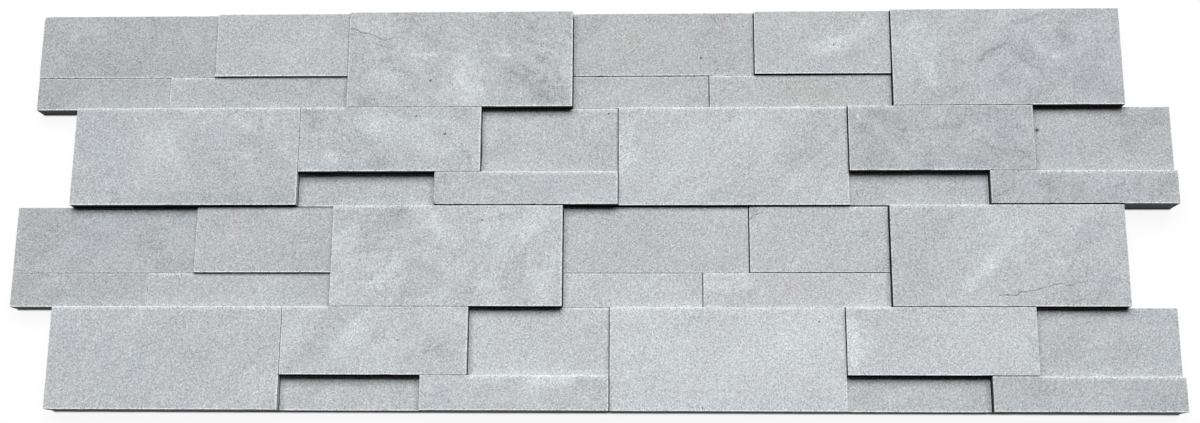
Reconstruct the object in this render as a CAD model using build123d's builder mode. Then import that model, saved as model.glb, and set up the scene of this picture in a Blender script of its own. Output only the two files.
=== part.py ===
"""Stone ledger panel: sawn stones of a few stock sizes, glued edge to edge in four staggered courses.

The panel lies on its back. +X runs along the courses, +Y up the wall it will clad, +Z out of its face.
The origin is under the middle of the panel, on the flat back. Sizes are in millimetres.
"""

import os
from collections import namedtuple

from build123d import *

# Stock sizes that the stones are sawn to
large_length = 114.2
long_length = 91.4
short_length = 68.5
band_height = 33.2
strip_height = 16.8

# Slab thicknesses: every back is flush, so a thicker stone stands further out of the face
recessed = 7.9
low = 8.2
raised = 8.9
medium = 10.3
proud = 12.4

# Joints: a glue line between stones, and a wider one halfway along and halfway up
glue_joint = 0.3
wide_joint = 0.5

# Ends: each second course steps sideways, and the lower two courses sit a little to the left
course_step = 23.0
lower_slip = -4.2

# Worn front edges
arris = 0.35

# A course is two halves, and each half is a large stone beside a block of four smaller ones.
# The block has a long and a short stone in its band, over a short and a long one in its strip.
Half = namedtuple("Half", "large long_band short_band short_strip long_strip")
Course = namedtuple("Course", "shift large_leads left right")

courses = [
    Course(
        shift=0,
        large_leads=False,
        left=Half(proud, low, medium, recessed, raised),
        right=Half(proud, low, medium, recessed, raised),
    ),
    Course(
        shift=course_step,
        large_leads=True,
        left=Half(proud, proud, low, recessed, proud),
        right=Half(medium, proud, low, low, proud),
    ),
    Course(
        shift=lower_slip,
        large_leads=False,
        left=Half(proud, low, medium, low, raised),
        right=Half(proud, low, raised, low, raised),
    ),
    Course(
        shift=lower_slip + course_step,
        large_leads=True,
        left=Half(proud, proud, low, recessed, proud),
        right=Half(medium, proud, low, low, proud),
    ),
]

# Sizes that follow from the stock sizes and the joints
course_height = band_height + glue_joint + strip_height
block_length = long_length + glue_joint + short_length
half_length = large_length + glue_joint + block_length
course_length = half_length + wide_joint + half_length
joints_below = [glue_joint, wide_joint, glue_joint, 0]
panel_height = len(courses) * course_height + sum(joints_below)
left_end = min(course.shift for course in courses)
right_end = max(course.shift for course in courses) + course_length
first_x = -(left_end + right_end) / 2
top_y = panel_height / 2


def lay_stone(name, corner, length, height, thickness):
    """One sawn stone with its lower left corner at `corner` and its back on the ground plane."""
    with BuildPart() as stone:
        with BuildSketch(Plane.XY):
            with Locations(corner):
                Rectangle(length, height, align=(Align.MIN, Align.MIN))
        extrude(amount=thickness)
        front = stone.faces().sort_by(Axis.Z)[-1]
        chamfer(front.edges(), arris)
    stone.part.label = name
    export_step(stone.part, f"parts/{name}.step")


def lay_block(prefix, x, y, half):
    """The four smaller stones: the band's joint and the strip's joint don't line up."""
    band_y = y + strip_height + glue_joint
    short_band_x = x + long_length + glue_joint
    long_strip_x = x + short_length + glue_joint
    lay_stone(f"{prefix}_long_band", (x, band_y), long_length, band_height, half.long_band)
    lay_stone(f"{prefix}_short_band", (short_band_x, band_y), short_length, band_height, half.short_band)
    lay_stone(f"{prefix}_short_strip", (x, y), short_length, strip_height, half.short_strip)
    lay_stone(f"{prefix}_long_strip", (long_strip_x, y), long_length, strip_height, half.long_strip)


def lay_half(prefix, x, y, half, large_leads):
    """Half a course: the large stone stands before or after its block."""
    large_x = x if large_leads else x + block_length + glue_joint
    block_x = x + large_length + glue_joint if large_leads else x
    lay_stone(f"{prefix}_large", (large_x, y), large_length, course_height, half.large)
    lay_block(prefix, block_x, y, half)


os.makedirs("parts", exist_ok=True)
course_top = top_y
for number, (course, joint) in enumerate(zip(courses, joints_below), start=1):
    course_x = first_x + course.shift
    course_y = course_top - course_height
    right_x = course_x + half_length + wide_joint
    lay_half(f"course_{number}_left", course_x, course_y, course.left, course.large_leads)
    lay_half(f"course_{number}_right", right_x, course_y, course.right, course.large_leads)
    course_top = course_y - joint
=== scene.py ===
import math

import bmesh
import bpy
from mathutils import Matrix, Vector, noise


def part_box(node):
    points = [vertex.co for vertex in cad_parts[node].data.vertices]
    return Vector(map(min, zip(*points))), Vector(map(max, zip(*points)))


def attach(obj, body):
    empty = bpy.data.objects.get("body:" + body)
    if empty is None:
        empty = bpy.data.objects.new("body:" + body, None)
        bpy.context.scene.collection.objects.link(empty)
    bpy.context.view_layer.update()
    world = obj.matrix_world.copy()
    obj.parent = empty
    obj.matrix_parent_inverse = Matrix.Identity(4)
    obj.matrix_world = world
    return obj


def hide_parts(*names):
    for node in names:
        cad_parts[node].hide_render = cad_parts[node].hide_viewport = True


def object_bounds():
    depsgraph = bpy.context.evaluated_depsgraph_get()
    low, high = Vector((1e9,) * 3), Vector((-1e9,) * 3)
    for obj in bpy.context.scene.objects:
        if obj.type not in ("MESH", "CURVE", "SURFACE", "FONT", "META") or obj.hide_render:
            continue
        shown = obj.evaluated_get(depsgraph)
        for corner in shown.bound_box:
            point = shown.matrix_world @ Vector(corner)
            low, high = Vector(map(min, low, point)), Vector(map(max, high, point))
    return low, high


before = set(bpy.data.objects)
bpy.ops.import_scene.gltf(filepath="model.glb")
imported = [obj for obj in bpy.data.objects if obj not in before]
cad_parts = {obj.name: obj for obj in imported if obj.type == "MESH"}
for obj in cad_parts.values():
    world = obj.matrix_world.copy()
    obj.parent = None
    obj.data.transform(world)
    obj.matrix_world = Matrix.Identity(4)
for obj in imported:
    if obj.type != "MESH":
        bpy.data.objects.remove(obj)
cadLow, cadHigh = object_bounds()
mm = 0.001
print("frame loaded with", len(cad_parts), "stones")


# Stone shapes
stoneShape = {
    "grid": 1.0 * mm,  # spacing of the face's mesh
    "edgeRings": [0.0, 0.1 * mm, 0.22 * mm, 0.4 * mm, 0.7 * mm, 1.2 * mm],  # finer lines along each arris
    "sideRow": 2.0 * mm,
    "wornRadius": 0.22 * mm,  # everyday rounding of the front edges
    "stepHeight": 0.6 * mm,  # an edge this far above its neighbour gets the most rounding and the broadest pale line, which is wear and painted highlight, and a neighbour this much taller lays a painted shadow at its foot
    "fillBlend": 2.0 * mm,  # how far into the face a filled or open joint shifts its edge
    "dirtyEdge": 1.3 * mm,  # width of the dark line along a dirty edge
    "spallRadius": 0.7 * mm,  # natural break-outs along an edge
    "spallLimit": 0.36,  # noise level above which an edge breaks out
    "swell": 0.05 * mm,  # slow waves left by the saw
    "grit": 0.025 * mm,
    "backWear": 0.25 * mm,
    "jointReach": 1.5 * mm,  # a neighbour this near makes a side a joint
    "edgeReach": 2.4 * mm,  # only the face this near an edge can wear
    "waveScale": 230.0,  # noise scales for wavy and rough rounding, break-outs, saw waves, grit and worn backs
    "roughScale": 1100.0,
    "spallScale": 85.0,
    "swellScale": 21.0,
    "gritScale": 640.0,
    "backScale": 160.0,
}


def ringLines(length):
    rings = stoneShape["edgeRings"]
    inner = length - 2 * rings[-1]
    steps = max(2, round(inner / stoneShape["grid"]))
    middle = [rings[-1] + inner * k / steps for k in range(1, steps)]
    return rings + middle + [length - ring for ring in reversed(rings)]


def sideDepths(thickness):
    rings = stoneShape["edgeRings"][1:]
    inner = thickness - 2 * rings[-1]
    steps = max(2, round(inner / stoneShape["sideRow"]))
    middle = [rings[-1] + inner * k / steps for k in range(1, steps)]
    return rings + middle + [thickness - ring for ring in reversed(rings)] + [thickness]


def smoothStep(x):
    x = min(1.0, max(0.0, x))
    return x * x * (3 - 2 * x)


def waver(kind, x, y, seed):
    scale = stoneShape[kind + "Scale"]
    return noise.noise(Vector((x * scale, y * scale, seed)))


def edgeRadius(x, y, seed, chips, worn):
    wavy, rough, spall = waver("wave", x, y, seed), waver("rough", x, y, seed + 3.1), waver("spall", x, y, seed + 9.7)
    radius = stoneShape["wornRadius"] * worn * (1 + 0.5 * wavy + 0.35 * rough)
    limit = stoneShape["spallLimit"]
    if spall > limit:
        radius += stoneShape["spallRadius"] * (spall - limit) / (1 - limit) * (1 + rough)
    for chipX, chipY, size in chips:
        away = math.hypot(x - chipX, y - chipY)
        if away < 1.4 * size:
            radius = max(radius, size * smoothStep(1.4 - away / size) * (1 + 0.4 * rough))
    return radius


def faceArc(distance, radius):
    # a face point near an edge moves onto the worn arc: how far in, and how far down
    if distance >= radius:
        return distance, 0.0
    angle = math.pi / 4 * (1 - distance / radius)
    return radius * (1 - math.sin(angle)), radius * (1 - math.cos(angle))


def sideArc(depth, radius):
    if depth >= radius:
        return 0.0, depth
    angle = math.pi / 2 - math.pi / 4 * (1 - depth / radius)
    return radius * (1 - math.sin(angle)), radius * (1 - math.cos(angle))


def rawBlock(low, high):
    # an even grid for the face, its rim extruded down in rows, and one face to close the back
    bm = bmesh.new()
    xLines, yLines = ringLines(high.x - low.x), ringLines(high.y - low.y)
    xCount, yCount = len(xLines) - 1, len(yLines) - 1
    bmesh.ops.create_grid(bm, x_segments=xCount, y_segments=yCount, size=0.5)
    for v in bm.verts:
        column, row = round((v.co.x + 0.5) * xCount), round((v.co.y + 0.5) * yCount)
        v.co = (low.x + xLines[column], low.y + yLines[row], high.z)
    rim = [e for e in bm.edges if e.is_boundary]
    for depth in sideDepths(high.z - low.z):
        made = bmesh.ops.extrude_edge_only(bm, edges=rim)["geom"]
        for v in made:
            if isinstance(v, bmesh.types.BMVert):
                v.co.z = high.z - depth
        rim = [e for e in made if isinstance(e, bmesh.types.BMEdge) and e.is_boundary]
    back = bmesh.ops.edgeloop_fill(bm, edges=rim)["faces"]
    bmesh.ops.recalc_face_normals(bm, faces=bm.faces)
    for face in bm.faces:
        face.smooth = True
    for face in back:
        face.smooth = False
        for e in face.edges:
            e.smooth = False
    return bm


boxes = {node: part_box(node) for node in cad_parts}
neighbours = {}  # the boxes that touch each stone, within a joint's reach
for node, (low, high) in boxes.items():
    gap = 2 * stoneShape["jointReach"]
    neighbours[node] = [
        (a, b) for other, (a, b) in boxes.items()
        if other != node and a.x - gap < high.x and b.x + gap > low.x and a.y - gap < high.y and b.y + gap > low.y
    ]
jointFills = {  # how far dust comes out of a side into its joint
    "gaping": -0.25 * mm,
    "open": -0.1 * mm,
    "usual": 0.06 * mm,
    "clean": 0.06 * mm,  # the same, with no painted shadow on the faces and less painted shade on the sides
    "dirty": 0.06 * mm,  # the same, with dirt along the arris
    "dull": 0.06 * mm,  # the same, with no broad pale line of wear and painted highlight on the arris
    "pale": 0.2 * mm,
}
jointSideShade = {  # painted shade on a stone's sides in a joint: how much of it is gone at the top of a step, and over what rise, by the way a side faces
    "left": (0.3, 3.5 * mm),
    "right": (0.8, 2.5 * mm),
    "lower": (0.1, 3.5 * mm),
    "upper": (1.0, 0.5 * mm),
}
cleanSideShade = (1.0, 0.6 * mm)  # the same two for a side in a clean joint
footShadow = {  # how far a painted shadow lies out on a face from the foot of a taller stone
    "left": 0.0, "right": 0.45 * mm, "lower": 0.0, "upper": 0.3 * mm,
}


def topOutside(node, x, y):
    # how high the stone stands that covers a point just outside this one
    tops = [high.z for low, high in neighbours[node] if low.x <= x <= high.x and low.y <= y <= high.y]
    return max(tops, default=-1.0)


edgeKinds = {  # rounding, paleness and reach of the pale line along an arris, which is wear and painted highlight: at a flush joint, above a lower stone and in the open
    "left": ((0.8, 0.6, 0.7 * mm), (1.3, 1.0, 0.7 * mm), (0.8, 0.15, 0.5 * mm)),
    "right": ((0.8, 0.6, 0.7 * mm), (1.5, 1.5, 0.8 * mm), (0.8, 0.15, 0.5 * mm)),
    "lower": ((0.8, 0.6, 0.7 * mm), (0.8, 2.3, 0.75 * mm), (0.8, 2.1, 0.75 * mm)),
    "upper": ((0.8, 0.7, 0.7 * mm), (2.2, 0.75, 1.7 * mm), (0.8, 0.15, 0.5 * mm)),
}


def edgeWearAndHighlight(node, x, y, kind, state):
    top = topOutside(node, x, y)
    flush, step, alone = edgeKinds[kind]
    if top < 0:
        return alone
    clear = smoothStep((boxes[node][1].z - top) / stoneShape["stepHeight"])
    clear = {"pale": 1.0, "dirty": 0.0, "dull": 0.0}.get(state, clear)
    return [a + (b - a) * clear for a, b in zip(flush, step)]


def edgeDirtAndShadow(node, x, y, kind, state, near):
    # dark on the face beside an edge: a painted shadow at the foot of a taller stone, replaced by dirt along a dirty
    # arris
    reach = footShadow[kind] if topOutside(node, x, y) > boxes[node][1].z + stoneShape["stepHeight"] else 0.0
    reach = {"dirty": stoneShape["dirtyEdge"], "clean": 0.0}.get(state, reach)
    return 1 - near / reach if near < reach else 0.0


def hiddenShare(node, x, y, z, fade, rise):
    # painted shade on a stone's side beside a point just outside it: 0 in the open, 1 from the neighbour's face down
    top = topOutside(node, x, y)
    if top < 0:
        return 0.0
    return 1.0 if z <= top else 1.0 - fade * smoothStep((z - top) / rise)


def jointFill(node, x, y, state, near):
    if near > stoneShape["fillBlend"] or topOutside(node, x, y) < 0:
        return 0.0
    return jointFills[state] * (1 - near / stoneShape["fillBlend"])


# besides shaping the edges, this writes the pale line of wear and painted highlight, the painted shade in joints and
# at the feet of taller stones, and dirt along dirty arrises
def wearEdges(bm, node, seed, chips, joints):
    low, high = boxes[node]
    wear_and_highlight = bm.verts.layers.float.new("wear_and_highlight")
    joint = bm.verts.layers.float.new("joint")
    bm.verts.layers.float.new("stain_and_pit_shade")
    for v in bm.verts:
        x, y, depth = v.co.x, v.co.y, high.z - v.co.z
        toLeft, toRight, toFront, toBack = x - low.x, high.x - x, y - low.y, high.y - y
        nearX, nearY = min(toLeft, toRight), min(toFront, toBack)
        signX, signY = (1 if toLeft < toRight else -1), (1 if toFront < toBack else -1)
        edgeX, edgeY = (low.x if signX > 0 else high.x), (low.y if signY > 0 else high.y)
        kindX, kindY = ("left" if signX > 0 else "right"), ("lower" if signY > 0 else "upper")
        outX, outY = edgeX - signX * stoneShape["jointReach"], edgeY - signY * stoneShape["jointReach"]
        besideX = (node, outX, y, kindX, joints.get(kindX, "usual"))
        besideY = (node, x, outY, kindY, joints.get(kindY, "usual"))
        fillX = signX * jointFill(node, outX, y, besideX[-1], nearX)
        fillY = signY * jointFill(node, x, outY, besideY[-1], nearY)
        broad = waver("swell", x, y, seed + 1.3)
        fine = waver("grit", x, y, v.co.z * stoneShape["gritScale"] + seed)
        if depth < 1e-7:
            z = high.z - stoneShape["swell"] * (0.5 + broad) - stoneShape["grit"] * (0.5 + fine)
            if nearX < stoneShape["edgeReach"]:
                worn, white, reach = edgeWearAndHighlight(*besideX)
                inset, drop = faceArc(nearX, edgeRadius(edgeX, y, seed, chips, worn))
                x, z = edgeX + signX * inset, z - drop
                v[wear_and_highlight] = white * max(0.0, 1 - nearX / reach)
                # painted shadow at the foot of a taller stone, and dirt along a dirty arris
                v[joint] = edgeDirtAndShadow(*besideX, nearX)
            if nearY < stoneShape["edgeReach"]:
                worn, white, reach = edgeWearAndHighlight(*besideY)
                inset, drop = faceArc(nearY, edgeRadius(x, edgeY, seed, chips, worn))
                y, z = edgeY + signY * inset, z - drop
                v[wear_and_highlight] = max(v[wear_and_highlight], white * (1 - nearY / reach))
                v[joint] = max(v[joint], edgeDirtAndShadow(*besideY, nearY))
            v.co = (x - fillX, y - fillY, z)
            continue
        rough = stoneShape["grit"] * (0.6 + fine)
        lip = smoothStep(1 - (v.co.z - low.z) / stoneShape["edgeRings"][-1])
        rough += lip * stoneShape["backWear"] * (0.5 + waver("back", x, y, seed + 5))
        drop = depth
        if nearX < 1e-7:
            worn, white, reach = edgeWearAndHighlight(*besideX)
            inset, drop = sideArc(depth, edgeRadius(edgeX, y, seed, chips, worn))
            v[wear_and_highlight] = white * max(0.0, 1 - 2 * depth / reach)
            # painted shade on a side in a joint
            sideShade = cleanSideShade if besideX[-1] == "clean" else jointSideShade[kindX]
            v[joint] = hiddenShare(node, outX, y, v.co.z, *sideShade)
            x += signX * (inset + rough)
        if nearY < 1e-7:
            worn, white, reach = edgeWearAndHighlight(*besideY)
            inset, drop = sideArc(depth, edgeRadius(x, edgeY, seed, chips, worn))
            if kindY == "upper":
                v[wear_and_highlight] = max(v[wear_and_highlight], white * (1 - 2 * depth / reach))
            sideShade = cleanSideShade if besideY[-1] == "clean" else jointSideShade[kindY]
            v[joint] = max(v[joint], hiddenShare(node, x, outY, v.co.z, *sideShade))
            y += signY * (inset + rough)
        v.co = (x - fillX, y - fillY, high.z - drop)


def nearestOnPath(p, path):
    # distance to a path of points, and how far along the path that is
    best, along = 1.0, 0.0
    for k, (a, b) in enumerate(zip(path, path[1:])):
        span = b - a
        share = min(1.0, max(0.0, (p - a).dot(span) / span.length_squared))
        away = (p - a - span * share).length
        if away < best:
            best, along = away, (k + share) / (len(path) - 1)
    return best, along


def scoreFace(bm, node, path, width, depth, dark, wander, fade):
    # cuts a crack, a vein or, with two points at one spot, a pit into the face
    high = boxes[node][1]
    stain_and_pit_shade = bm.verts.layers.float["stain_and_pit_shade"]
    reach = width + wander + 0.8 * mm

    def flat(co):
        return Vector((co.x, co.y))

    for finer in range(3 if width < 1.0 * mm else 2):
        near = [f for f in bm.faces
                if f.normal.z > 0.6 and nearestOnPath(flat(f.calc_center_median()), path)[0] < reach]
        edges = list({e for f in near for e in f.edges})
        bmesh.ops.subdivide_edges(bm, edges=edges, cuts=1, use_grid_fill=True)
        reach = max(width * 1.6, reach * 0.7)
    for v in bm.verts:
        if v.co.z < high.z - 1.5 * mm or v.normal.z < 0.3:
            continue
        p = flat(v.co)
        if nearestOnPath(p, path)[0] > width + wander:
            continue
        drift = Vector((noise.noise(v.co * 300), noise.noise(v.co * 300 + Vector((7, 7, 7))))) * wander * 2
        away, along = nearestOnPath(p + drift, path)
        hit = smoothStep(1 - away / width) * (1 - fade * along)
        v.co.z -= depth * hit
        v[stain_and_pit_shade] = max(v[stain_and_pit_shade], dark * hit)


# Stone finish
tones = {  # colour of the clean sawn face
    "slate": (0.502, 0.526, 0.546),
    "sage": (0.498, 0.521, 0.531),
    "sand": (0.504, 0.521, 0.531),
}
# shade words scale a stone's tone; they also carry painted light, as the lower courses are given lighter shades,
# brighter towards the bottom of the panel
shades = {
    "darkest": 0.872, "dark": 0.92, "dim": 0.95, "soft": 0.975, "mid": 1.0,
    "clear": 1.03, "light": 1.06, "bright": 1.09, "pale": 1.13, "palest": 1.2,
}
patchTints = {  # what a soft patch does to the colour under it
    "bright": (1.32, 1.32, 1.315),
    "pale": (1.16, 1.16, 1.155),
    "leaf": (1.07, 1.085, 1.045),
    "dark": (0.85, 0.85, 0.855),
    "deep": (0.70, 0.70, 0.71),
    "warm": (1.01, 0.99, 0.97),
    "pink": (1.025, 0.98, 0.985),
    "blue": (0.968, 0.973, 1.0),
    "violet": (0.945, 0.94, 0.972),
}
finish = {
    "speckle": 1.1,  # strength of the salt and pepper grain
    "grainScale": 1500.0,
    "mottleScale": 62.0,
    "streak": (1.7, 0.85, 1.0),  # the clouds are drawn out along the stone's bedding
    "wispScale": 40.0,
    "laceScale": 130.0,
    "cloud": 0.68,  # how far clouds, slow drift, wisps and lace lighten or darken the stone
    "drift": 0.17,
    "darkWisp": -0.17,
    "paleWisp": 0.14,
    "darkLace": -0.15,
    "paleLace": 0.10,
    "wearBreak": (2.4, 0.7),  # how the grain breaks up a worn edge
    "bumpStrength": 0.35,
    "bumpHeight": 0.15 * mm,
    # the pale colour of worn arrises, which also serves as their painted highlight
    "wornAndHighlightColour": (0.92, 0.94, 0.95, 1),
    # colour of cracks, veins and pits; in a pit its darkness is painted shade
    "pitColour": (0.035, 0.036, 0.038, 1),
    # colour of the painted shade on joint sides and at the foot of taller stones, and of the dirt along dirty arrises
    "jointShadeAndDirtColour": (0.005, 0.005, 0.005, 1),
    "roughness": 0.9,
    "specular": 0.05,
}


def addNode(tree, kind, inputs=None, **settings):
    node = tree.nodes.new(kind)
    for key, value in settings.items():
        setattr(node, key, value)
    for key, value in (inputs or {}).items():
        if isinstance(value, bpy.types.NodeSocket):
            tree.links.new(value, node.inputs[key])
        else:
            node.inputs[key].default_value = value
    return node


def doMath(tree, operation, a, b=0.0, clamp=False):
    return addNode(tree, "ShaderNodeMath", {0: a, 1: b}, operation=operation, use_clamp=clamp).outputs[0]


def mixColour(tree, factor, a, b, blend="MIX"):
    node = addNode(tree, "ShaderNodeMix", {0: factor, 6: a, 7: b}, data_type="RGBA", blend_type=blend)
    return node.outputs[2]


def newGroup(name, inputs, outputs):
    group = bpy.data.node_groups.new(name, "ShaderNodeTree")
    for socketName, kind in inputs:
        group.interface.new_socket(socketName, in_out="INPUT", socket_type=kind)
    for socketName, kind in outputs:
        group.interface.new_socket(socketName, in_out="OUTPUT", socket_type=kind)
    return group, group.nodes.new("NodeGroupInput").outputs, group.nodes.new("NodeGroupOutput").inputs


def makeGrainGroup():
    group, given, out = newGroup(
        "stoneGrain",
        [("Vector", "NodeSocketVector"), ("Scale", "NodeSocketFloat")],
        [("Speckle", "NodeSocketFloat"), ("Height", "NodeSocketFloat")],
    )
    fine = addNode(group, "ShaderNodeTexNoise", {"Vector": given["Vector"], "Scale": given["Scale"], "Detail": 2.0,
                                                 "Roughness": 0.65})
    coarseScale = doMath(group, "MULTIPLY", given["Scale"], 0.42)
    coarse = addNode(group, "ShaderNodeTexNoise", {"Vector": given["Vector"], "Scale": coarseScale, "Detail": 1.0})
    fleckScale = doMath(group, "MULTIPLY", given["Scale"], 0.8)
    fleck = addNode(group, "ShaderNodeTexVoronoi", {"Vector": given["Vector"], "Scale": fleckScale})
    crystal = addNode(group, "ShaderNodeMapRange", {"Value": fleck.outputs["Distance"], "From Min": 0.1,
                                                    "From Max": 0.34, "To Min": 1.0, "To Max": 0.0})
    sparse = addNode(group, "ShaderNodeSeparateColor", {"Color": fleck.outputs["Color"]})
    salt = doMath(group, "MULTIPLY", crystal.outputs[0], doMath(group, "GREATER_THAN", sparse.outputs[0], 0.74))
    pepper = doMath(group, "MULTIPLY", crystal.outputs[0], doMath(group, "LESS_THAN", sparse.outputs[0], 0.22))
    grain = doMath(group, "ADD", doMath(group, "MULTIPLY", fine.outputs["Fac"], 1.75),
                   doMath(group, "MULTIPLY", coarse.outputs["Fac"], 0.25))
    grain = doMath(group, "SUBTRACT", grain, 1.0)
    flecks = doMath(group, "SUBTRACT", doMath(group, "MULTIPLY", salt, 0.30), doMath(group, "MULTIPLY", pepper, 0.34))
    speckle = doMath(group, "ADD", grain, flecks)
    group.links.new(speckle, out["Speckle"])
    group.links.new(doMath(group, "MULTIPLY_ADD", speckle, 0.5), out["Height"])
    return group


def makeMottleGroup():
    group, given, out = newGroup(
        "stoneMottle",
        [("Vector", "NodeSocketVector"), ("Scale", "NodeSocketFloat")],
        [("Cloud", "NodeSocketFloat"), ("Drift", "NodeSocketFloat")],
    )
    cloud = addNode(group, "ShaderNodeTexNoise", {"Vector": given["Vector"], "Scale": given["Scale"], "Detail": 3.0,
                                                  "Roughness": 0.55, "Distortion": 0.5})
    slowScale = doMath(group, "MULTIPLY", given["Scale"], 0.35)
    drift = addNode(group, "ShaderNodeTexNoise", {"Vector": given["Vector"], "Scale": slowScale, "Detail": 2.0})
    group.links.new(doMath(group, "SUBTRACT", cloud.outputs["Fac"], 0.5), out["Cloud"])
    group.links.new(doMath(group, "SUBTRACT", drift.outputs["Fac"], 0.5), out["Drift"])
    return group


def makeWispGroup():
    # thin wandering lines where a slow noise crosses its middle, broken up by a second noise
    group, given, out = newGroup(
        "stoneWisps",
        [("Vector", "NodeSocketVector"), ("Scale", "NodeSocketFloat")],
        [("Wisp", "NodeSocketFloat")],
    )
    slow = addNode(group, "ShaderNodeTexNoise", {"Vector": given["Vector"], "Scale": given["Scale"], "Detail": 4.0,
                                                 "Roughness": 0.6, "Distortion": 1.2})
    gateScale = doMath(group, "MULTIPLY", given["Scale"], 1.3)
    gate = addNode(group, "ShaderNodeTexNoise", {"Vector": given["Vector"], "Scale": gateScale, "Detail": 1.0})
    off = doMath(group, "ABSOLUTE", doMath(group, "SUBTRACT", slow.outputs["Fac"], 0.5))
    line = addNode(group, "ShaderNodeMapRange", {"Value": off, "From Min": 0.0, "From Max": 0.03, "To Min": 1.0,
                                                 "To Max": 0.0}, interpolation_type="SMOOTHSTEP")
    show = addNode(group, "ShaderNodeMapRange", {"Value": gate.outputs["Fac"], "From Min": 0.45, "From Max": 0.65},
                   interpolation_type="SMOOTHSTEP")
    group.links.new(doMath(group, "MULTIPLY", line.outputs[0], show.outputs[0]), out["Wisp"])
    return group


def makePatchGroup():
    # a soft blotch around a short line, its rim broken up by noise
    group, given, out = newGroup(
        "softPatch",
        [("Vector", "NodeSocketVector"), ("From", "NodeSocketVector"), ("To", "NodeSocketVector"),
         ("Radius", "NodeSocketFloat")],
        [("Mask", "NodeSocketFloat")],
    )

    def vectors(operation, a, b):
        return addNode(group, "ShaderNodeVectorMath", {0: a, 1: b}, operation=operation).outputs

    span = vectors("SUBTRACT", given["To"], given["From"])["Vector"]
    reach = vectors("SUBTRACT", given["Vector"], given["From"])["Vector"]
    square = doMath(group, "MAXIMUM", vectors("DOT_PRODUCT", span, span)["Value"], 1e-8)
    along = doMath(group, "DIVIDE", vectors("DOT_PRODUCT", reach, span)["Value"], square, clamp=True)
    nearest = addNode(group, "ShaderNodeVectorMath", {0: span, "Scale": along}, operation="SCALE").outputs["Vector"]
    away = vectors("DISTANCE", reach, nearest)["Value"]
    wobbleScale = doMath(group, "DIVIDE", 1.6, given["Radius"])
    wobble = addNode(group, "ShaderNodeTexNoise", {"Vector": given["Vector"], "Scale": wobbleScale, "Detail": 4.0,
                                                   "Roughness": 0.6})
    ragged = doMath(group, "MULTIPLY", doMath(group, "SUBTRACT", wobble.outputs["Fac"], 0.5), 2.0)
    share = doMath(group, "ADD", doMath(group, "DIVIDE", away, given["Radius"]), ragged)
    mask = addNode(group, "ShaderNodeMapRange", {"Value": share, "From Min": 0.1, "From Max": 1.15, "To Min": 1.0,
                                                 "To Max": 0.0}, interpolation_type="SMOOTHSTEP")
    inside = addNode(group, "ShaderNodeTexNoise", {"Vector": given["Vector"], "Scale": 260.0, "Detail": 3.0,
                                                   "Roughness": 0.6, "Distortion": 0.8})
    broken = addNode(group, "ShaderNodeMapRange", {"Value": inside.outputs["Fac"], "From Min": 0.38, "From Max": 0.62,
                                                   "To Min": 0.6, "To Max": 1.1})
    group.links.new(doMath(group, "MULTIPLY", mask.outputs[0], broken.outputs[0], clamp=True), out["Mask"])
    return group


grainGroup, mottleGroup = makeGrainGroup(), makeMottleGroup()
wispGroup, patchGroup = makeWispGroup(), makePatchGroup()


def addGroup(tree, group, inputs):
    return addNode(tree, "ShaderNodeGroup", inputs, node_tree=group)


def facePoint(node, u, v):
    low, high = boxes[node]
    return Vector((low.x + u * (high.x - low.x), low.y + v * (high.y - low.y), high.z))


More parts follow.
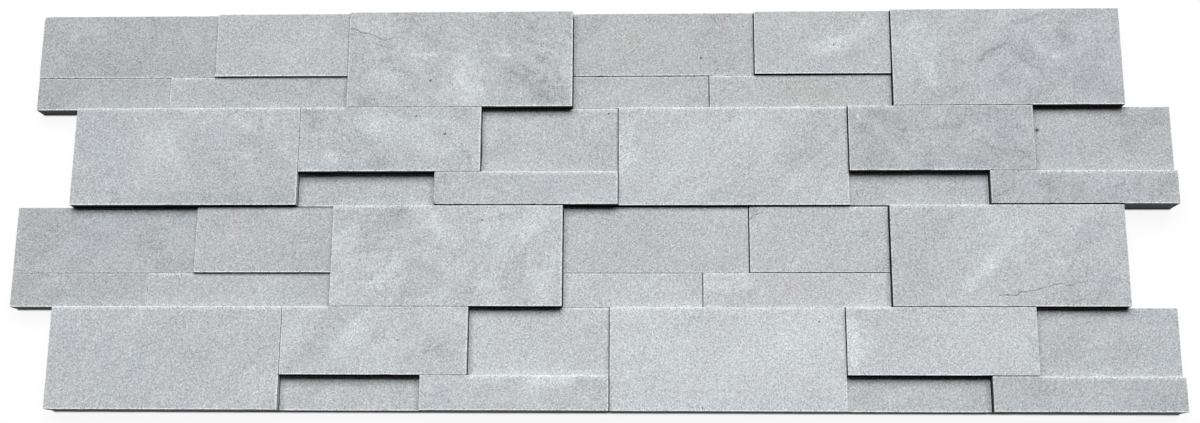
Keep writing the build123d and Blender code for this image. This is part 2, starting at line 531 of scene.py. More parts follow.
def stoneMaterial(node, look, seed):
    material = bpy.data.materials.new("sawnStone_" + node)
    material.use_nodes = True
    tree = material.node_tree
    tree.nodes.clear()
    place = addNode(tree, "ShaderNodeTexCoord").outputs["Object"]
    shifted = addNode(tree, "ShaderNodeMapping", {
        "Vector": place, "Location": (seed * 0.37, seed * 0.11, seed * 0.23), "Rotation": (0.61, 0.47, seed)})
    grain = addGroup(tree, grainGroup, {"Vector": shifted.outputs[0], "Scale": finish["grainScale"]})
    lean = math.radians(look.get("lean", 40))
    streaked = addNode(tree, "ShaderNodeMapping", {
        "Vector": place, "Location": (seed * 0.29, seed * 0.17, seed * 0.41), "Rotation": (0, 0, lean),
        "Scale": finish["streak"]}, vector_type="TEXTURE")
    mottle = addGroup(tree, mottleGroup, {"Vector": streaked.outputs[0], "Scale": finish["mottleScale"]})
    colour = (*[c * shades[look["shade"]] for c in tones[look["tone"]]], 1)
    cloudy = doMath(tree, "MULTIPLY", mottle.outputs["Cloud"], finish["cloud"] * look["mottle"])
    slow = doMath(tree, "MULTIPLY", mottle.outputs["Drift"], finish["drift"])
    spotted = doMath(tree, "MULTIPLY", grain.outputs["Speckle"], finish["speckle"])
    light = doMath(tree, "ADD", doMath(tree, "ADD", cloudy, slow), doMath(tree, "ADD", spotted, 1.0))
    wisps, lace = look.get("wisps", look["mottle"]), look.get("lace", 0.3)
    turned = addNode(tree, "ShaderNodeMapping", {"Vector": place, "Location": (seed * 0.19, 3.0, seed * 0.31),
                                                 "Rotation": (0.4, 0.7, seed + 2.0)})
    for vector, scale, kind, share in (
            (streaked, "wispScale", "darkWisp", wisps), (turned, "wispScale", "paleWisp", wisps),
            (turned, "laceScale", "darkLace", lace), (shifted, "laceScale", "paleLace", lace)):
        wisp = addGroup(tree, wispGroup, {"Vector": vector.outputs[0], "Scale": finish[scale]})
        light = doMath(tree, "ADD", light, doMath(tree, "MULTIPLY", wisp.outputs["Wisp"], finish[kind] * share))
    for u, v, size, kind, strength, *end in look.get("patches", []):
        first, last = facePoint(node, u, v), facePoint(node, *(end or (u, v)))
        patch = addGroup(tree, patchGroup, {"Vector": place, "From": first, "To": last, "Radius": size * mm})
        factor = doMath(tree, "MULTIPLY", patch.outputs["Mask"], strength)
        colour = mixColour(tree, factor, colour, (*patchTints[kind], 1), "MULTIPLY")
    colour = mixColour(tree, 1.0, colour, light, "MULTIPLY")

    def attribute(name):
        return addNode(tree, "ShaderNodeAttribute", attribute_name=name).outputs["Fac"]

    gain, offset = finish["wearBreak"]
    breakUp = doMath(tree, "ADD", doMath(tree, "MULTIPLY", grain.outputs["Speckle"], gain), offset)
    # pale worn edges, with their painted highlight
    worn = doMath(tree, "MULTIPLY", attribute("wear_and_highlight"), breakUp, clamp=True)
    colour = mixColour(tree, worn, colour, finish["wornAndHighlightColour"])
    # painted shade in the joints and at the foot of taller stones, and dirt along dirty arrises
    colour = mixColour(tree, attribute("joint"), colour, finish["jointShadeAndDirtColour"])
    # dark cracks and veins, and painted shade in pits
    colour = mixColour(tree, attribute("stain_and_pit_shade"), colour, finish["pitColour"])
    bump = addNode(tree, "ShaderNodeBump", {"Height": grain.outputs["Height"], "Strength": finish["bumpStrength"],
                                             "Distance": finish["bumpHeight"]})
    shader = addNode(tree, "ShaderNodeBsdfPrincipled", {
        "Base Color": colour, "Roughness": finish["roughness"], "Specular IOR Level": finish["specular"],
        "Normal": bump.outputs[0]})
    addNode(tree, "ShaderNodeOutputMaterial", {"Surface": shader.outputs[0]})
    return material


# One dictionary for each stone. Places on a stone are shares of its length and height from its lower left corner,
# and sizes are in millimetres: a patch has a place, a size, a kind, a strength and, if drawn out, a second place;
# a chip and a pit have a place and a size. Lean is the slant of the clouds in degrees, and joints names the sides
# whose joint isn't the usual one.
stoneLooks = {
    "course_1_left_large": {
        "tone": "slate", "shade": "soft", "mottle": 0.8, "lean": -50, "lace": 1.0,
        "patches": [
            (0.51, 0.42, 10, "bright", 0.6, 0.55, 0.20), (0.16, 0.30, 8, "pale", 0.8),
            (0.30, 0.78, 7, "pale", 0.35), (0.285, 0.545, 1.3, "bright", 0.8, 0.395, 0.545),
            (0.65, 0.55, 1.3, "bright", 0.8, 0.72, 0.54), (0.17, 0.66, 6, "deep", 0.5),
            (0.15, 0.50, 2.5, "deep", 0.6, 0.20, 0.50), (0.08, 0.40, 4, "dark", 0.5),
            (0.24, 0.40, 3, "dark", 0.8, 0.39, 0.18), (0.30, 0.20, 3, "dark", 0.6),
            (0.66, 0.52, 3, "deep", 0.35, 0.80, 0.22), (0.72, 0.40, 2.5, "deep", 0.3, 0.86, 0.12),
            (0.82, 0.10, 5, "deep", 0.6, 0.95, 0.05), (0.08, 0.05, 5, "dark", 0.8), (0.37, 0.07, 4, "dark", 0.7),
            (0.85, 0.82, 8, "dark", 0.6, 1.0, 0.92), (0.54, 0.82, 8, "dark", 0.5),
            (0.78, 0.70, 2, "dark", 0.6, 0.92, 0.62)],
        "cracks": [[(0.0, 0.82), (0.04, 0.80), (0.09, 0.76), (0.15, 0.71), (0.24, 0.72)]],
        "pits": [(0.37, 0.27, 0.8)],
    },
    "course_1_left_long_band": {
        "tone": "slate", "shade": "darkest", "mottle": 0.45, "lean": -50, "lace": 0.5,
        "patches": [
            (0.18, 0.62, 4, "pale", 0.8), (0.24, 0.60, 5, "dark", 0.5), (0.20, 0.18, 9, "dark", 0.45),
            (0.52, 0.14, 9, "dark", 0.4), (0.85, 0.50, 16, "pale", 0.25), (0.20, 0.80, 6, "leaf", 0.5, 0.30, 0.82)],
        "chips": [(0.0, 1.0, 1.3)],
    },
    "course_1_left_short_band": {
        "tone": "sage", "shade": "mid", "mottle": 0.3, "lace": 0.2,
        "joints": {"lower": "clean"},
        "patches": [
            (0.72, 0.10, 7, "warm", 1.0, 0.84, 0.85), (0.745, 0.36, 3, "pink", 1.0), (0.95, 0.80, 7, "dark", 0.4),
            (0.33, 0.80, 9, "blue", 1.0), (0.10, 0.35, 10, "blue", 0.8), (0.55, 0.30, 10, "leaf", 0.3)],
    },
    "course_1_left_short_strip": {
        "tone": "slate", "shade": "darkest", "mottle": 0.35,
        "patches": [
            (0.10, 0.50, 10, "dark", 0.5), (0.25, 0.25, 4, "warm", 1.0), (0.15, 0.20, 4, "pink", 0.5),
            (0.80, 0.60, 12, "pale", 0.25)],
    },
    "course_1_left_long_strip": {
        "tone": "sage", "shade": "dim", "mottle": 0.35, "lace": 0.5,
        "patches": [
            (0.03, 0.75, 6, "pale", 0.6), (0.05, 0.50, 2, "dark", 0.6), (0.92, 0.65, 2, "dark", 0.9),
            (0.20, 0.25, 6, "blue", 0.8, 0.35, 0.30), (0.70, 0.30, 6, "blue", 0.6)],
    },
    "course_1_right_large": {
        "tone": "slate", "shade": "soft", "mottle": 0.6, "lace": 0.6,
        "patches": [
            (0.10, 0.65, 20, "leaf", 0.7), (0.12, 0.70, 16, "pale", 0.3),
            (0.152, 0.40, 5, "bright", 0.8, 0.165, 0.25), (0.62, 0.42, 26, "violet", 1.0),
            (0.90, 0.45, 26, "violet", 1.0), (0.45, 0.20, 14, "violet", 0.9),
            (0.375, 0.44, 2, "deep", 0.38, 0.44, 0.57), (0.44, 0.57, 2.5, "deep", 0.38, 0.52, 0.66),
            (0.52, 0.66, 1.8, "dark", 0.4, 0.585, 0.46), (0.585, 0.46, 1.8, "dark", 0.3, 0.66, 0.29),
            (0.57, 0.865, 1.8, "deep", 0.35, 0.68, 0.95), (0.73, 0.76, 3.5, "deep", 0.6, 0.78, 0.64),
            (0.755, 0.85, 2, "deep", 0.5), (0.605, 0.76, 3, "pale", 0.7, 0.65, 0.58),
            (0.65, 0.58, 3, "pale", 0.8, 0.72, 0.49), (0.705, 0.49, 2, "bright", 0.6), (0.95, 0.10, 8, "deep", 0.6),
            (0.85, 0.30, 10, "dark", 0.4), (0.845, 0.80, 5, "pale", 0.6), (0.19, 0.05, 3, "dark", 0.8, 0.30, 0.19),
            (0.50, 0.28, 7, "dark", 0.5)],
        "veins": [[(0.38, 0.46), (0.435, 0.56), (0.51, 0.65), (0.555, 0.5), (0.66, 0.33)],
                  [(0.54, 0.84), (0.63, 0.9), (0.68, 0.96)]],
    },
    "course_1_right_long_band": {
        "tone": "sand", "shade": "dim", "mottle": 0.35,
        "patches": [
            (0.05, 0.50, 14, "warm", 0.7, 0.30, 0.45), (0.45, 0.15, 6, "warm", 0.7), (0.65, 0.50, 16, "leaf", 0.3),
            (0.82, 0.85, 6, "pink", 0.9), (0.92, 0.70, 7, "leaf", 0.5), (0.80, 0.72, 7, "dark", 0.3)],
        "pits": [(0.705, 0.27, 0.7)],
    },
    "course_1_right_short_band": {
        "tone": "slate", "shade": "mid", "mottle": 0.35,
        "joints": {"lower": "open"},
        "patches": [
            (0.45, 0.38, 5, "pale", 1.0, 0.62, 0.47), (0.60, 0.47, 5, "pale", 1.0, 0.85, 0.78),
            (0.55, 0.75, 6, "pale", 0.4), (0.70, 0.26, 7, "dark", 0.6), (0.12, 0.50, 12, "dark", 0.25)],
        "pits": [(0.585, 0.46, 0.6)],
    },
    "course_1_right_short_strip": {
        "tone": "sand", "shade": "dim", "mottle": 0.35,
        "joints": {"upper": "open"},
        "patches": [
            (0.15, 0.40, 7, "leaf", 0.6, 0.35, 0.50), (0.60, 0.50, 12, "warm", 0.8), (0.83, 0.28, 4, "pink", 0.7),
            (0.20, 0.80, 5, "dark", 0.3)],
    },
    "course_1_right_long_strip": {
        "tone": "sand", "shade": "soft", "mottle": 0.3,
        "patches": [
            (0.42, 0.50, 6, "warm", 1.0, 0.70, 0.42), (0.62, 0.45, 6, "dark", 0.35), (0.15, 0.60, 6, "warm", 0.8),
            (0.88, 0.60, 5, "warm", 0.5)],
    },
    "course_2_left_large": {
        "tone": "slate", "shade": "mid", "mottle": 0.5, "lean": -50, "lace": 0.5,
        "joints": {"right": "clean"},
        "patches": [
            (0.12, 0.65, 20, "blue", 1.0), (0.20, 0.30, 12, "blue", 0.7), (0.40, 0.60, 9, "pale", 0.6, 0.37, 0.72),
            (0.44, 0.42, 8, "pale", 0.35), (0.76, 0.80, 5, "pale", 0.8, 0.72, 0.88),
            (0.76, 0.53, 4, "pale", 0.8, 0.80, 0.42), (0.87, 0.67, 8, "dark", 0.5), (0.66, 0.42, 7, "dark", 0.35),
            (0.62, 0.74, 6, "violet", 1.0), (0.11, 0.12, 4, "dark", 0.8), (0.20, 0.10, 5, "dark", 0.8),
            (0.30, 0.04, 7, "dark", 0.5, 0.90, 0.05), (0.03, 0.25, 6, "dark", 0.5)],
        "veins": [[(0.82, 0.93), (0.825, 0.85), (0.83, 0.76)]],
    },
    "course_2_left_long_band": {
        "tone": "slate", "shade": "clear", "mottle": 0.6, "lean": -40, "lace": 0.7,
        "patches": [
            (0.40, 0.66, 9, "leaf", 1.0, 0.52, 0.70), (0.68, 0.72, 7, "leaf", 1.0), (0.82, 0.80, 5, "leaf", 0.8),
            (0.45, 0.66, 8, "pale", 0.4), (0.18, 0.24, 5, "bright", 0.6), (0.90, 0.62, 6, "pale", 0.6),
            (0.07, 0.72, 5, "deep", 0.55), (0.22, 0.79, 4, "dark", 0.7), (0.02, 0.95, 5, "dark", 0.7, 0.30, 0.97),
            (0.90, 0.94, 6, "dark", 0.8), (0.40, 0.12, 4, "dark", 0.6, 0.48, 0.10)],
        "veins": [[(0.88, 0.42), (0.93, 0.3), (0.95, 0.15)]],
        "pits": [(0.64, 0.85, 0.7), (0.803, 0.57, 0.9)],
    },
    "course_2_left_short_band": {
        "tone": "sand", "shade": "mid", "mottle": 0.5, "lace": 0.5, "joints": {"upper": "pale", "right": "clean"},
        "patches": [
            (0.20, 0.76, 7, "warm", 1.0), (0.13, 0.40, 4, "pink", 0.8), (0.33, 0.36, 6, "pale", 0.7),
            (0.45, 0.50, 6, "leaf", 0.6), (0.65, 0.45, 12, "warm", 0.8), (0.82, 0.80, 8, "leaf", 0.5),
            (0.20, 0.50, 8, "dark", 0.25)],
        "pits": [(0.93, 0.92, 0.7)],
    },
    "course_2_left_short_strip": {
        "tone": "sage", "shade": "mid", "mottle": 0.4,
        "patches": [(0.35, 0.55, 6, "blue", 0.9), (0.08, 0.50, 6, "blue", 0.6), (0.55, 0.50, 9, "leaf", 0.25)],
    },
    "course_2_left_long_strip": {
        "tone": "slate", "shade": "mid", "mottle": 0.4,
        "joints": {"lower": "open"},
        "patches": [(0.44, 0.45, 6, "leaf", 0.9), (0.80, 0.20, 4, "leaf", 0.6), (0.65, 0.40, 10, "blue", 0.6)],
        "chips": [(0.0, 0.0, 1.6), (0.54, 0.0, 0.9)],
    },
    "course_2_right_large": {
        "tone": "slate", "shade": "light", "mottle": 0.45,
        "patches": [
            (0.02, 0.70, 9, "pale", 1.0, 0.03, 0.50), (0.83, 0.52, 10, "dark", 0.5, 0.76, 0.48),
            (0.74, 0.27, 9, "pale", 0.35), (0.24, 0.28, 10, "pale", 0.35), (0.53, 0.80, 9, "pale", 0.4),
            (0.25, 0.90, 8, "dark", 0.35, 0.40, 0.92)],
    },
    "course_2_right_long_band": {
        "tone": "slate", "shade": "dark", "mottle": 0.6, "lean": -40, "lace": 0.8,
        "joints": {"right": "dull"},
        "patches": [
            (0.055, 0.83, 1.5, "bright", 1.0, 0.055, 0.76), (0.08, 0.66, 5, "deep", 0.5),
            (0.12, 0.88, 4, "dark", 0.7, 0.30, 0.76), (0.49, 0.90, 6, "pale", 0.9),
            (0.53, 0.68, 3, "deep", 0.7, 0.59, 0.66), (0.32, 0.30, 10, "pale", 0.6), (0.85, 0.70, 13, "blue", 1.0),
            (0.70, 0.85, 8, "blue", 0.8), (0.78, 0.30, 3, "dark", 0.7, 0.95, 0.24), (0.06, 0.35, 7, "leaf", 0.4),
            (0.15, 0.10, 8, "dark", 0.4)],
        "veins": [[(0.28, 0.6), (0.32, 0.68), (0.36, 0.72)], [(0.68, 0.45), (0.75, 0.35), (0.85, 0.3)]],
    },
    "course_2_right_short_band": {
        "tone": "slate", "shade": "dim", "mottle": 0.4,
        "patches": [
            (0.68, 0.80, 7, "dark", 0.9), (0.68, 0.80, 7, "warm", 1.0), (0.93, 0.85, 6, "dark", 0.9),
            (0.90, 0.80, 8, "warm", 1.0), (0.70, 0.45, 7, "dark", 0.6), (0.25, 0.50, 14, "blue", 0.6),
            # the small bright patch at 0.055, 0.67 is a painted highlight on the lit rim of the pit
            (0.055, 0.67, 1.2, "bright", 1.0)],
        "pits": [(0.034, 0.635, 1.3)],
    },
    "course_2_right_short_strip": {
        "tone": "slate", "shade": "soft", "mottle": 0.3,
        "patches": [(0.50, 0.40, 5, "leaf", 0.4), (0.85, 0.50, 8, "blue", 0.5)],
        "joints": {"right": "clean", "lower": "open"},
    },
    "course_2_right_long_strip": {
        "tone": "slate", "shade": "dark", "mottle": 0.8, "lace": 1.0, "joints": {"lower": "gaping"},
        "patches": [
            (0.28, 0.60, 5, "deep", 0.5), (0.47, 0.45, 6, "deep", 0.55), (0.78, 0.50, 5, "deep", 0.5),
            (0.20, 0.60, 7, "blue", 1.0), (0.58, 0.35, 8, "blue", 1.0, 0.70, 0.30), (0.60, 0.70, 4, "pale", 0.5)],
    },
    "course_3_left_large": {
        "tone": "slate", "shade": "bright", "mottle": 0.8, "lace": 1.0,
        "patches": [
            (0.72, 0.72, 10, "leaf", 0.8, 0.93, 0.85), (0.83, 0.78, 9, "pale", 0.45),
            (0.42, 0.85, 6, "pale", 0.7, 0.52, 0.68), (0.165, 0.20, 5, "pale", 0.9, 0.29, 0.42),
            (0.68, 0.20, 7, "pale", 0.5), (0.20, 0.30, 9, "pale", 0.4), (0.15, 0.65, 8, "dark", 0.5),
            (0.22, 0.60, 4, "dark", 0.6), (0.05, 0.85, 10, "dark", 0.35, 0.30, 0.93),
            (0.11, 0.53, 1.6, "deep", 0.4, 0.27, 0.57), (0.36, 0.40, 6, "dark", 0.6, 0.47, 0.30),
            (0.30, 0.05, 3, "dark", 0.8, 0.35, 0.20), (0.62, 0.58, 8, "dark", 0.35), (0.03, 0.35, 5, "dark", 0.5)],
        "pits": [(0.65, 0.85, 0.7)],
    },
    "course_3_left_long_band": {
        "tone": "slate", "shade": "dark", "mottle": 0.5, "lace": 0.6,
        "patches": [
            (0.08, 0.75, 10, "warm", 1.0), (0.20, 0.60, 7, "pink", 0.8), (0.07, 0.78, 6, "dark", 0.6),
            (0.45, 0.50, 18, "blue", 0.8), (0.82, 0.60, 14, "leaf", 0.45), (0.68, 0.25, 5, "leaf", 0.6),
            (0.12, 0.30, 8, "dark", 0.4)],
    },
    "course_3_left_short_band": {
        "tone": "sage", "shade": "mid", "mottle": 0.35, "joints": {"upper": "dirty", "lower": "clean"},
        "patches": [
            (0.27, 0.50, 5, "pink", 1.0, 0.30, 0.80), (0.30, 0.80, 4, "warm", 1.0, 0.47, 0.93),
            (0.26, 0.56, 3, "pale", 0.6), (0.95, 0.30, 6, "pink", 0.7), (0.83, 0.50, 8, "leaf", 0.6),
            (0.87, 0.85, 6, "warm", 0.5), (0.12, 0.75, 8, "dark", 0.3)],
    },
    "course_3_left_short_strip": {
        "tone": "sage", "shade": "dark", "mottle": 0.4,
        "joints": {"right": "pale"},
        "patches": [
            (0.13, 0.60, 9, "blue", 1.0), (0.20, 0.78, 1.2, "pale", 0.9, 0.33, 0.83), (0.33, 0.33, 6, "deep", 0.5),
            (0.48, 0.22, 6, "blue", 0.9), (0.72, 0.70, 5, "leaf", 0.6), (0.05, 0.25, 6, "pink", 0.5),
            (0.38, 0.65, 6, "leaf", 0.4)],
    },
    "course_3_left_long_strip": {
        "tone": "sage", "shade": "mid", "mottle": 0.4,
        "patches": [
            (0.42, 0.25, 5, "blue", 0.8), (0.58, 0.22, 5, "blue", 0.8), (0.87, 0.40, 4, "blue", 1.0),
            (0.70, 0.55, 8, "leaf", 0.4)],
    },
    "course_3_right_large": {
        "tone": "slate", "shade": "clear", "mottle": 0.5, "lace": 0.5,
        "patches": [
            (0.36, 0.95, 8, "leaf", 0.65, 0.54, 0.78), (0.44, 0.58, 16, "leaf", 0.65),
            (0.31, 0.20, 5, "pale", 0.8, 0.42, 0.42), (0.42, 0.42, 8, "pale", 0.35, 0.60, 0.82),
            (0.715, 0.42, 6, "pale", 0.7), (0.82, 0.68, 10, "violet", 0.9), (0.90, 0.25, 9, "violet", 1.0),
            (0.90, 0.22, 7, "dark", 0.5), (0.12, 0.40, 16, "dark", 0.4), (0.20, 0.70, 8, "dark", 0.4),
            (0.50, 0.05, 6, "dark", 0.5, 0.90, 0.05), (0.45, 0.90, 6, "pale", 0.4)],
        "cracks": [[(0.45, 0.10), (0.53, 0.12), (0.605, 0.16), (0.68, 0.21), (0.76, 0.21), (0.82, 0.25)]],
    },
    "course_3_right_long_band": {
        "tone": "sage", "shade": "clear", "mottle": 0.3,
        "patches": [(0.27, 0.55, 12, "warm", 1.0), (0.20, 0.50, 8, "leaf", 0.4), (0.50, 0.75, 6, "pink", 0.4)],
    },
    "course_3_right_short_band": {
        "tone": "sage", "shade": "light", "mottle": 0.3, "joints": {"left": "open", "lower": "open", "upper": "open"},
        "patches": [
            (0.04, 0.75, 5, "pink", 0.7), (0.50, 0.15, 8, "blue", 0.9, 0.85, 0.60), (0.19, 0.70, 2, "dark", 0.8),
            (0.02, 0.93, 3, "deep", 0.8)],
        "cracks": [[(0.0, 0.80), (0.06, 0.85), (0.10, 0.93), (0.11, 1.0)]],
        "chips": [(0.0, 1.0, 0.9)],
    },
    "course_3_right_short_strip": {
        "tone": "sage", "shade": "pale", "mottle": 0.3,
        "patches": [
            (0.60, 0.45, 4, "leaf", 0.5), (0.48, 0.75, 3, "pale", 0.5, 0.63, 0.60), (0.60, 0.35, 3, "dark", 0.3)],
    },
    "course_3_right_long_strip": {
        "tone": "sand", "shade": "bright", "mottle": 0.4,
        "patches": [
            (0.03, 0.65, 5, "pale", 0.8, 0.22, 0.75), (0.05, 0.70, 4, "pink", 0.7, 0.20, 0.72),
            (0.42, 0.66, 4, "pink", 1.0, 0.50, 0.50), (0.92, 0.62, 4, "pink", 0.8), (0.70, 0.30, 5, "warm", 0.5)],
    },
    "course_4_left_large": {
        "tone": "slate", "shade": "light", "mottle": 0.35,
        "joints": {"right": "clean"},
        "patches": [
            (0.07, 0.70, 8, "blue", 1.0), (0.24, 0.54, 8, "blue", 1.0), (0.37, 0.41, 8, "blue", 0.9),
            (0.20, 0.68, 3, "pale", 0.5, 0.38, 0.92), (0.93, 0.20, 9, "pale", 0.6), (0.85, 0.35, 10, "pale", 0.3)],
    },
    "course_4_left_long_band": {
        "tone": "slate", "shade": "bright", "mottle": 0.6, "lace": 0.6,
        "patches": [
            (0.32, 0.30, 8, "leaf", 1.0, 0.42, 0.75), (0.39, 0.55, 7, "pale", 0.7, 0.41, 0.68),
            (0.45, 0.93, 5, "leaf", 0.8), (0.17, 0.30, 9, "dark", 0.8), (0.05, 0.15, 6, "dark", 0.5),
            (0.88, 0.25, 9, "dark", 0.45), (0.95, 0.85, 5, "pale", 0.7), (0.10, 0.62, 7, "pale", 0.35),
            (0.68, 0.28, 5, "dark", 0.5)],
        "pits": [(0.625, 0.5, 0.6)],
    },
    "course_4_left_short_band": {
        "tone": "sage", "shade": "pale", "mottle": 0.35, "joints": {"upper": "pale", "right": "clean"},
        "patches": [(0.15, 0.60, 8, "leaf", 0.4), (0.40, 0.30, 14, "leaf", 0.3)],
    },
    "course_4_left_short_strip": {
        "tone": "sage", "shade": "bright", "mottle": 0.4,
        "patches": [(0.35, 0.30, 6, "leaf", 0.4), (0.60, 0.15, 5, "pink", 0.4), (0.25, 0.85, 4, "warm", 0.5)],
    },
    "course_4_left_long_strip": {
        "tone": "slate", "shade": "bright", "mottle": 0.4,
        "patches": [
            (0.60, 0.85, 5, "bright", 0.7, 0.78, 0.90), (0.60, 0.40, 7, "pale", 0.6),
            (0.28, 0.85, 4, "pale", 0.7, 0.42, 0.90), (0.12, 0.50, 9, "blue", 0.9), (0.88, 0.35, 4, "pale", 0.7),
            (0.85, 0.85, 4, "dark", 0.5)],
    },
    "course_4_right_large": {
        "tone": "slate", "shade": "palest", "mottle": 0.35, "lace": 0.2,
        "joints": {"right": "clean"},
        "patches": [
            (0.09, 0.45, 14, "leaf", 0.7, 0.22, 0.58), (0.54, 0.50, 9, "pale", 0.3), (0.74, 0.60, 12, "pale", 0.5),
            (0.88, 0.08, 10, "dark", 0.4)],
        "pits": [(0.89, 0.86, 0.7), (0.39, 0.03, 0.6)],
    },
    "course_4_right_long_band": {
        "tone": "slate", "shade": "pale", "mottle": 0.3, "lace": 0.2,
        "joints": {"upper": "open", "lower": "open", "right": "dull"},
        "patches": [
            (0.02, 0.75, 7, "bright", 0.6, 0.03, 0.20), (0.06, 0.50, 10, "pale", 0.5), (0.94, 0.53, 3, "blue", 1.0),
            (0.80, 0.15, 14, "dark", 0.25)],
    },
    "course_4_right_short_band": {
        "tone": "slate", "shade": "mid", "mottle": 0.45, "lace": 0.4,
        "patches": [
            (0.85, 0.28, 7, "blue", 1.0), (0.82, 0.76, 6, "blue", 0.8), (0.72, 0.45, 5, "leaf", 0.5),
            (0.30, 0.45, 14, "dark", 0.25)],
    },
    "course_4_right_short_strip": {
        "tone": "sage", "shade": "clear", "mottle": 0.4,
        "joints": {"right": "clean"},
        "patches": [
            (0.45, 0.80, 5, "pink", 0.6), (0.05, 0.35, 6, "blue", 0.8), (0.82, 0.60, 6, "blue", 0.7),
            (0.33, 0.40, 7, "leaf", 0.5), (0.60, 0.15, 5, "warm", 0.5)],
    },
    "course_4_right_long_strip": {
        "tone": "slate", "shade": "soft", "mottle": 0.45,
        "patches": [(0.80, 0.65, 6, "blue", 1.0), (0.28, 0.60, 3, "dark", 0.5), (0.60, 0.40, 10, "leaf", 0.25)],
    },
}
flaws = {  # width, depth, darkness, how far the line wanders and how much it fades along its length
    "crack": (0.36 * mm, 0.3 * mm, 0.6, 0.6 * mm, 0.5),
    "vein": (1.1 * mm, 0.04 * mm, 0.24, 1.2 * mm, 0.3),
    "pit": (1.0, 0.6, 0.85, 0.1 * mm, 0.0),  # a pit's own size takes the place of the first two lengths; its darkness is painted shade
}


def makeStone(node, look, seed):
    low, high = boxes[node]

    def onFace(u, v):
        return facePoint(node, u, v).to_2d()

    chips = [(*onFace(u, v), size * mm) for u, v, size in look.get("chips", [])]
    bm = rawBlock(low, high)
    wearEdges(bm, node, seed, chips, look.get("joints", {}))
    bm.normal_update()
    for kind in ("crack", "vein"):
        for path in look.get(kind + "s", []):
            scoreFace(bm, node, [onFace(u, v) for u, v in path], *flaws[kind])
    width, depth, dark, wander, fade = flaws["pit"]
    for u, v, size in look.get("pits", []):
        spot = onFace(u, v)
        path = [spot, spot + Vector((0.25 * size * mm, 0.1 * size * mm))]
        scoreFace(bm, node, path, width * size * mm, depth * size * mm, dark, wander, fade)
    mesh = bpy.data.meshes.new(node + "_stone")
    bm.to_mesh(mesh)
    bm.free()
    stone = bpy.data.objects.new(node + "_stone", mesh)
    bpy.context.scene.collection.objects.link(stone)
    mesh.materials.append(stoneMaterial(node, look, seed))
    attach(stone, "root")
    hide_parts(node)
    return stone


stones = []
for seed, node in enumerate(sorted(stoneLooks), start=1):
    stones.append(makeStone(node, stoneLooks[node], seed * 1.7))
triangles = sum(len(p.vertices) - 2 for stone in stones for p in stone.data.polygons)
print("stones made:", len(stones), "with", triangles, "triangles")


# Stage
stage = {
    "floorSize": 8.0,
    "floorDrop": 0.2 * mm,
    "floorColour": (0.11, 0.11, 0.11, 1),  # what the floor throws back at the stones
    "whiteShare": 0.92,  # how much of the floor's white the camera sees without shade
    "lampHeight": 5.0,
    "lampNear": 1.75,  # the lamp hangs beyond the panel, from here
    "lampFar": 7.5,
    "lampWidth": 9.5,
    "lampPower": 942.0,
    "skyStrength": 0.018,
    "fillSize": (8.0, 0.4),  # a weak lamp low in front, for the sides that the broad lamp leaves in shade
    "fillAway": 5.0,
    "fillHeight": 0.25,
    "fillPower": 21.0,
    "contactReach": 1.6 * mm,  # the floor gets a painted contact shadow this close to a stone
    "contactRange": (0.6, 0.9),  # how open a spot is where that starts and where the floor is white again
    "coverMargin": (35 * mm, 2 * mm),  # the floor is dark under the panel, this far in from its ends and edges
}


def seenDirectly(tree):
    path = addNode(tree, "ShaderNodeLightPath").outputs
    seen = doMath(tree, "MAXIMUM", path["Is Camera Ray"], path["Is Glossy Ray"])
    return doMath(tree, "MAXIMUM", seen, path["Is Transmission Ray"])


def makeFloor():
    bm = bmesh.new()
    bmesh.ops.create_grid(bm, x_segments=1, y_segments=1, size=stage["floorSize"] / 2)
    bmesh.ops.translate(bm, verts=bm.verts, vec=(0, 0, cadLow.z - stage["floorDrop"]))
    mesh = bpy.data.meshes.new("floor")
    bm.to_mesh(mesh)
    bm.free()
    floor = bpy.data.objects.new("floor", mesh)
    bpy.context.scene.collection.objects.link(floor)
    material = bpy.data.materials.new("paleFloor")
    material.use_nodes = True
    tree = material.node_tree
    tree.nodes.clear()
    place = addNode(tree, "ShaderNodeTexCoord").outputs["Object"]
    across = addNode(tree, "ShaderNodeSeparateXYZ", {0: place}).outputs
    marginX, marginY = stage["coverMargin"]
    beyondX = doMath(tree, "GREATER_THAN", doMath(tree, "ABSOLUTE", across["X"]), cadHigh.x - marginX)
    beyondY = doMath(tree, "GREATER_THAN", doMath(tree, "ABSOLUTE", across["Y"]), cadHigh.y - marginY)
    seen = doMath(tree, "MULTIPLY", seenDirectly(tree), doMath(tree, "MAXIMUM", beyondX, beyondY))
    # painted contact shadow: ambient occlusion takes the white off the floor near the stones
    clear = addNode(tree, "ShaderNodeAmbientOcclusion", {"Distance": stage["contactReach"]}).outputs["AO"]
    shut, clearOfAll = stage["contactRange"]
    contact = addNode(tree, "ShaderNodeMapRange", {"Value": clear, "From Min": shut, "From Max": clearOfAll})
    seen = doMath(tree, "MULTIPLY", seen, contact.outputs[0])
    paint = mixColour(tree, seen, stage["floorColour"], (1, 1, 1, 1))
    matt = addNode(tree, "ShaderNodeBsdfDiffuse", {"Color": paint})
    white = addNode(tree, "ShaderNodeEmission", {"Color": (1, 1, 1, 1), "Strength": 1.0})
    share = doMath(tree, "MULTIPLY", seen, stage["whiteShare"])
    both = addNode(tree, "ShaderNodeMixShader", {0: share, 1: matt.outputs[0], 2: white.outputs[0]})
    addNode(tree, "ShaderNodeOutputMaterial", {"Surface": both.outputs[0]})
    mesh.materials.append(material)


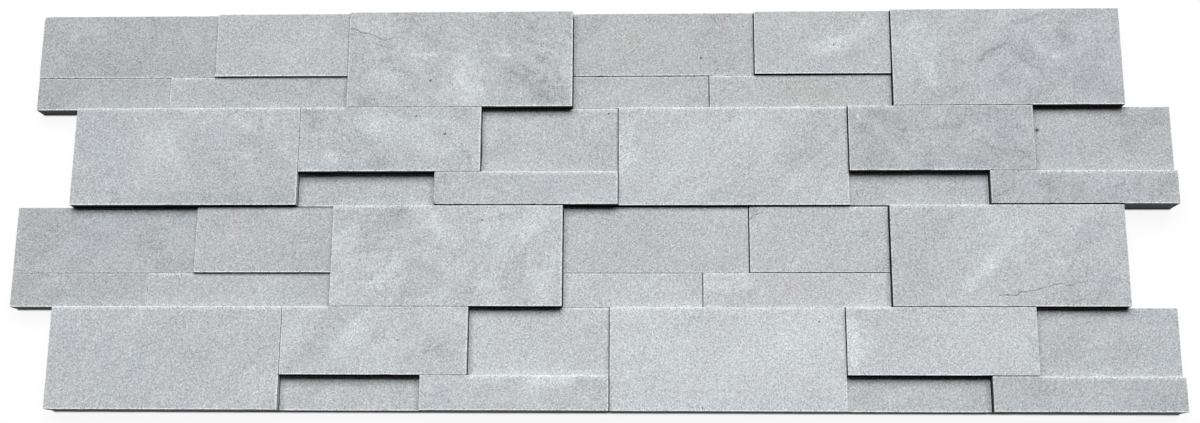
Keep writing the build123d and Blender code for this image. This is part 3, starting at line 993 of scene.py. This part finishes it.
def hangLamp(name, width, depth, power, spot, tilt):
    light = bpy.data.lights.new(name, "AREA")
    light.shape = "RECTANGLE"
    light.size, light.size_y = width, depth
    light.energy = power
    lamp = bpy.data.objects.new(name, light)
    lamp.location = spot
    lamp.rotation_euler.x = math.radians(tilt)
    lamp.visible_camera = False
    bpy.context.scene.collection.objects.link(lamp)


def makeLight():
    world = bpy.data.worlds.new("softSky")
    bpy.context.scene.world = world
    world.use_nodes = True
    tree = world.node_tree
    tree.nodes.clear()
    strength = addNode(tree, "ShaderNodeMix", {0: seenDirectly(tree), 2: stage["skyStrength"], 3: 1.0})
    sky = addNode(tree, "ShaderNodeBackground", {"Color": (1, 1, 1, 1), "Strength": strength.outputs[0]})
    addNode(tree, "ShaderNodeOutputWorld", {"Surface": sky.outputs[0]})
    middle = (stage["lampNear"] + stage["lampFar"]) / 2
    hangLamp("broadLamp", stage["lampWidth"], stage["lampFar"] - stage["lampNear"], stage["lampPower"],
             (0, middle, stage["lampHeight"]), 0)
    hangLamp("lowLamp", *stage["fillSize"], stage["fillPower"], (0, -stage["fillAway"], stage["fillHeight"]), 90)


makeFloor()
makeLight()
print("stage lit")


# Camera
cameraView = {
    "spot": (25.62 * mm, -147.17 * mm, 680.8 * mm),
    "aim": (4.66 * mm, -3.18 * mm, 11.0 * mm),
    "roll": -0.08,  # degrees
    "lens": 41.51,  # on a sensor 36 mm wide
}


def makeCamera():
    camera = bpy.data.cameras.new("camera")
    camera.sensor_width = 36.0
    camera.lens = cameraView["lens"]
    camera.clip_start = 0.01
    spot, aim = Vector(cameraView["spot"]), Vector(cameraView["aim"])
    ahead = (aim - spot).normalized()
    right = (Vector((1, 0, 0)) - ahead * ahead.x).normalized()
    up = right.cross(ahead)
    turn = Matrix((right, up, -ahead)).transposed() @ Matrix.Rotation(math.radians(cameraView["roll"]), 3, "Z")
    holder = bpy.data.objects.new("camera", camera)
    holder.matrix_world = Matrix.Translation(spot) @ turn.to_4x4()
    bpy.context.scene.collection.objects.link(holder)
    bpy.context.scene.camera = holder


makeCamera()
bpy.context.scene.view_settings.view_transform = "Standard"
print("camera set")
